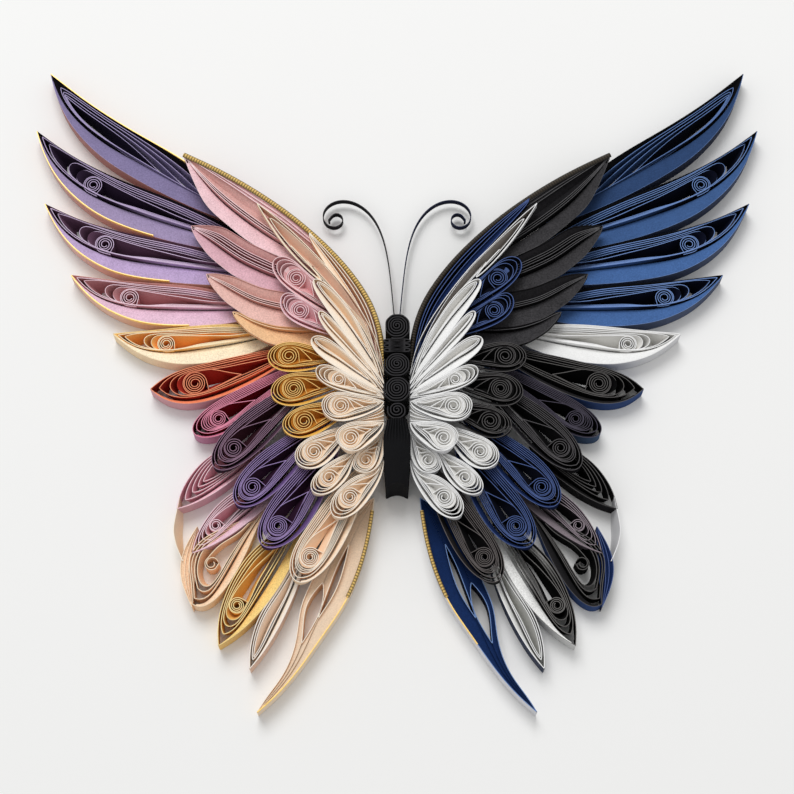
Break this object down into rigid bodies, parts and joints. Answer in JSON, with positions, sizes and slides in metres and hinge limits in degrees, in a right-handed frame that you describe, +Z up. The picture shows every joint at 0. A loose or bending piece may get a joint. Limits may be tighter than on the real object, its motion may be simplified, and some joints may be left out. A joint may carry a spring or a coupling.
{
  "type": "quilled paper butterfly",
  "caption": "Butterfly of coiled and pinched paper strips on edge, layered wing petals in two colour schemes, black coiled body and curled antennae; lies flat on its back.",
  "frame": {"origin": "middle of the bottom of the bounding box, on the face it lies on", "axes": "+Z up from the surface it lies on, +Y towards the head, +X towards the viewer's right wing"},
  "size_m": [0.188, 0.1686, 0.0145],
  "materials": {
    "violet_paper": "matte",
    "mauve_paper": "matte",
    "honey_paper": "matte",
    "rose_paper": "matte",
    "peach_paper": "matte",
    "cream_paper": "matte",
    "ochre_paper": "matte",
    "ivory_paper": "matte",
    "orange_paper": "matte",
    "plum_black_paper": "matte",
    "purple_paper": "matte",
    "dusty_rose_paper": "matte",
    "pale_pink_paper": "matte",
    "white_paper": "matte",
    "blue_paper": "matte",
    "charcoal_paper": "matte",
    "navy_paper": "matte",
    "black_paper": "matte",
    "slate_paper": "matte",
    "umber_paper": "matte",
    "gilt_paper": "matte"
  },
  "bodies": {
    "root": {"left_primary_feather_1": "violet_paper", "left_primary_feather_2": "violet_paper", "left_primary_feather_3": "violet_paper", "left_primary_feather_4": "mauve_paper", "left_primary_feather_5": "honey_paper", "left_covert_1": "rose_paper", "left_covert_2": "rose_paper", "left_covert_3": "peach_paper", "left_covert_4": "peach_paper", "left_leading_petal": "cream_paper", "left_shoulder_coil_1": "rose_paper", "left_shoulder_coil_2": "mauve_paper", "left_middle_coil_1": "ochre_paper", "left_middle_coil_2": "ochre_paper", "left_middle_coil_3": "ochre_paper", "left_inner_petals": "ivory_paper", "left_hind_feather_1": "orange_paper", "left_hind_feather_2": "mauve_paper", "left_hind_feather_3": "plum_black_paper", "left_hind_feather_4": "purple_paper", "left_hind_feather_5": "purple_paper", "left_hind_feather_6": "dusty_rose_paper", "left_hind_feather_7": "pale_pink_paper", "left_hind_feather_8": "peach_paper", "left_hind_feather_9": "honey_paper", "left_hind_feather_10": "white_paper", "left_hind_feather_11": "cream_paper", "left_hind_feather_12": "cream_paper", "left_antenna": "black_paper", "right_primary_feather_1": "blue_paper", "right_primary_feather_2": "blue_paper", "right_primary_feather_3": "blue_paper", "right_primary_feather_4": "blue_paper", "right_primary_feather_5": "white_paper", "right_covert_1": "charcoal_paper", "right_covert_2": "charcoal_paper", "right_covert_3": "charcoal_paper", "right_covert_4": "charcoal_paper", "right_leading_petal": "white_paper", "right_shoulder_coil_1": "navy_paper", "right_shoulder_coil_2": "navy_paper", "right_middle_coil_1": "black_paper", "right_middle_coil_2": "black_paper", "right_middle_coil_3": "black_paper", "right_inner_petals": "white_paper", "right_hind_feather_1": "black_paper", "right_hind_feather_2": "slate_paper", "right_hind_feather_3": "charcoal_paper", "right_hind_feather_4": "navy_paper", "right_hind_feather_5": "navy_paper", "right_hind_feather_6": "navy_paper", "right_hind_feather_7": "slate_paper", "right_hind_feather_8": "black_paper", "right_hind_feather_9": "black_paper", "right_hind_feather_10": "white_paper", "right_hind_feather_11": "umber_paper", "right_hind_feather_12": "navy_paper", "right_antenna": "navy_paper", "body_coils": "black_paper", "abdomen": "black_paper"}
  },
  "joints": []
}
